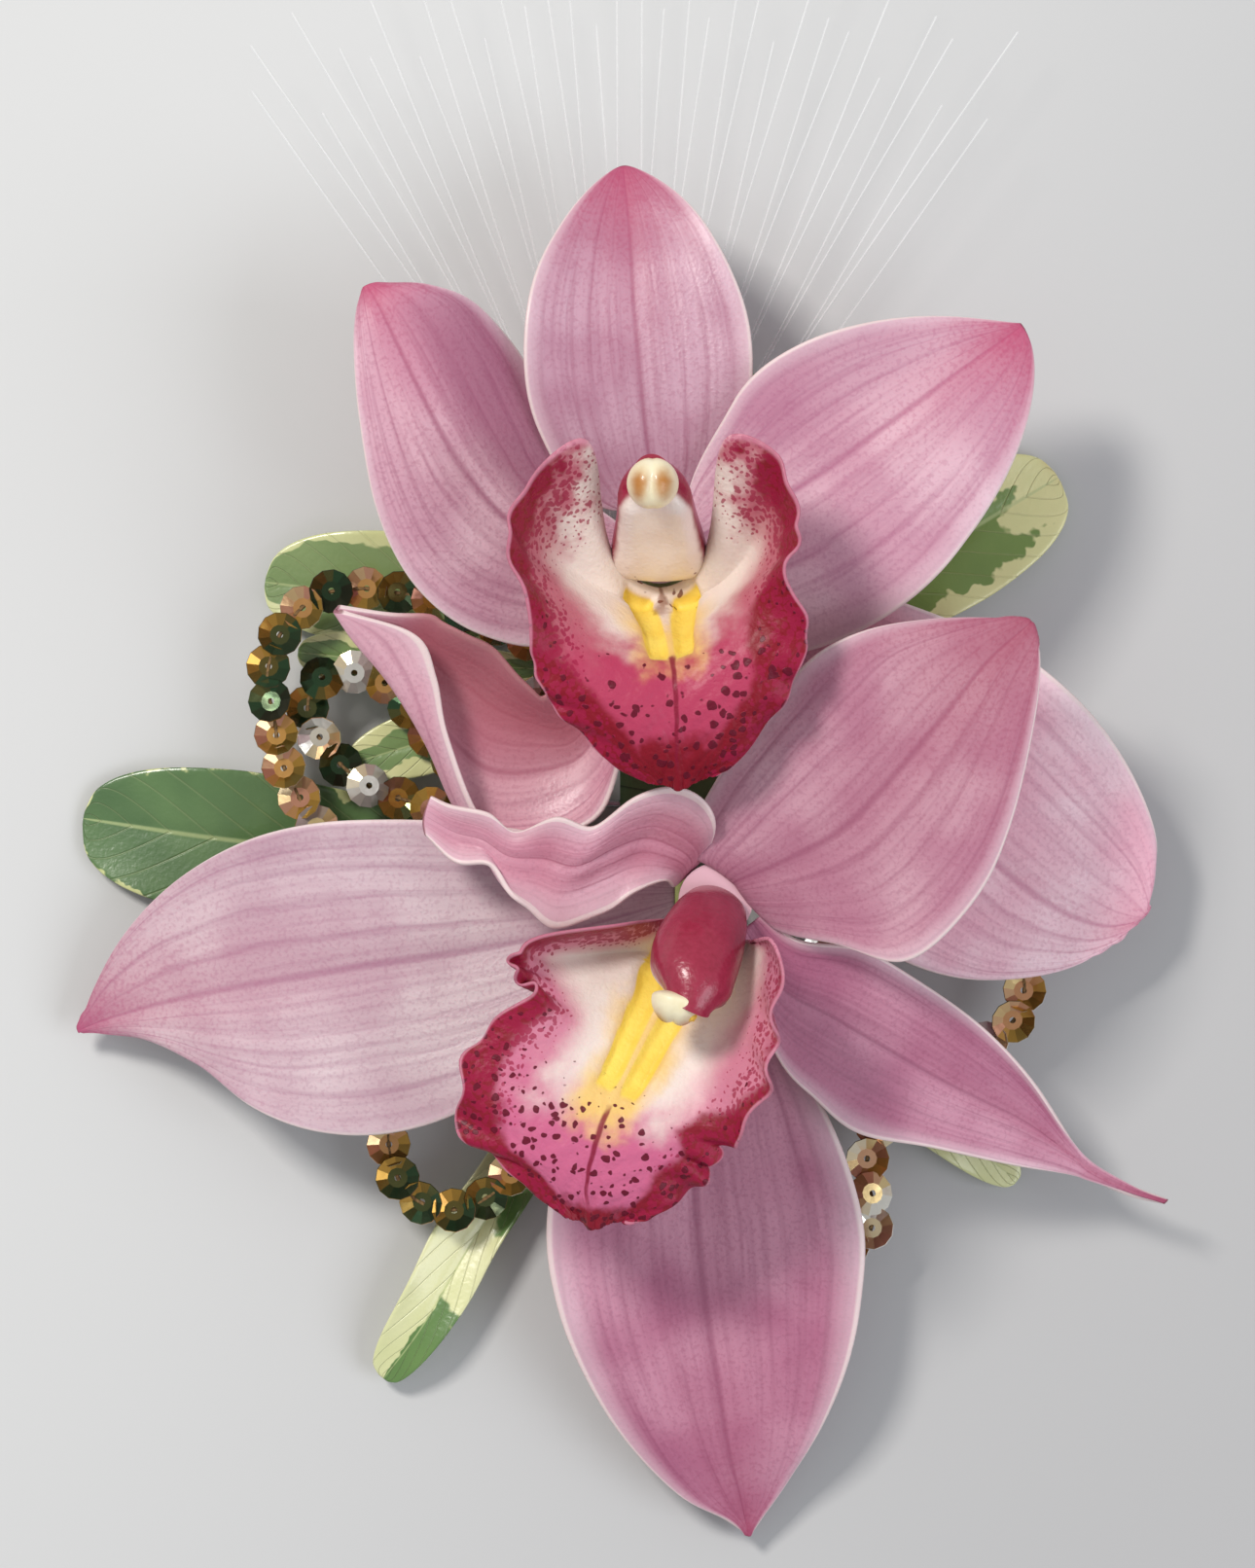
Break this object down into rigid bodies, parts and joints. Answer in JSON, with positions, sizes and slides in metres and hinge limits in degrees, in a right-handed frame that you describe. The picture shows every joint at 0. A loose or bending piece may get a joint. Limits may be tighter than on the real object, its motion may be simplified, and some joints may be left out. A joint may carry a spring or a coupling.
{
  "type": "orchid corsage",
  "caption": "Orchid corsage: spotted cymbidium blooms over wired variegated leaves, sequin loops and a clear filament spray, bound at the back and held by pearl-headed pins.",
  "frame": {"origin": "centre of the flat back of the tape binding behind the blooms", "axes": "+Z out of the blooms' faces, +Y along the corsage from the lower bloom to the upper bloom and the filament spray, +X to the viewer's right, towards the pearl pin heads"},
  "size_m": [0.1242, 0.1848, 0.0424],
  "materials": {
    "tepal": "waxy satin mauve-pink petal tissue with darker veins",
    "lip": "waxy crimson petal tissue with a pale spotted field and yellow keels",
    "column": "waxy cream flower tissue with a crimson back",
    "anther_cap": "waxy cream-yellow",
    "pollen": "soft waxy yellow",
    "ovary": "satin olive green plant stalk",
    "wire": "green enamelled florist's wire",
    "tape": "waxed green crepe floral tape",
    "leaf": "glossy green leaf with cream-yellow edges",
    "sequin": "mirror gold and copper film cups on a thread",
    "filament": "clear thin filament",
    "pin": "bright steel",
    "pearl": "pearl white coat"
  },
  "bodies": {
    "corsage": {"upper_dorsal_sepal": "tepal", "upper_left_petal": "tepal", "upper_right_petal": "tepal", "upper_left_sepal": "tepal", "upper_right_sepal": "tepal", "lower_dorsal_sepal": "tepal", "lower_left_petal": "tepal", "lower_right_petal": "tepal", "lower_left_sepal": "tepal", "lower_right_sepal": "tepal", "upper_lip": "lip", "upper_column": "column", "upper_anther_cap": "anther_cap", "upper_pollinarium": "pollen", "upper_pedicel": "ovary", "upper_stem_wire": "wire", "upper_stem_tape": "tape", "lower_lip": "lip", "lower_column": "column", "lower_anther_cap": "anther_cap", "lower_pollinarium": "pollen", "lower_pedicel": "ovary", "lower_stem_wire": "wire", "lower_stem_tape": "tape", "right_leaf": "leaf", "right_leaf_stem": "tape", "top_leaf": "leaf", "top_leaf_stem": "tape", "upper_left_leaf": "leaf", "upper_left_leaf_stem": "tape", "inner_left_leaf": "leaf", "inner_left_leaf_stem": "tape", "left_leaf": "leaf", "left_leaf_stem": "tape", "centre_left_leaf": "leaf", "centre_left_leaf_stem": "tape", "bottom_left_leaf": "leaf", "bottom_left_leaf_stem": "tape", "bottom_right_leaf": "leaf", "bottom_right_leaf_stem": "tape", "outer_left_loop": "sequin", "outer_left_loop_stem": "tape", "inner_left_loop": "sequin", "inner_left_loop_stem": "tape", "bottom_left_loop": "sequin", "bottom_left_loop_stem": "tape", "right_loop": "sequin", "right_loop_stem": "tape", "clear_spray": "filament", "binding_tape": "tape"},
    "pin_1": {"pin_1_shaft": "pin", "pin_1_pearl": "pearl"},
    "pin_2": {"pin_2_shaft": "pin", "pin_2_pearl": "pearl"}
  },
  "joints": [
    {"name": "pin_1_slide", "type": "slide", "parent": "corsage", "child": "pin_1", "axis": [1, 0, 0], "range_m": [0, 0.05]},
    {"name": "pin_2_slide", "type": "slide", "parent": "corsage", "child": "pin_2", "axis": [1, 0, 0], "range_m": [0, 0.05]}
  ]
}
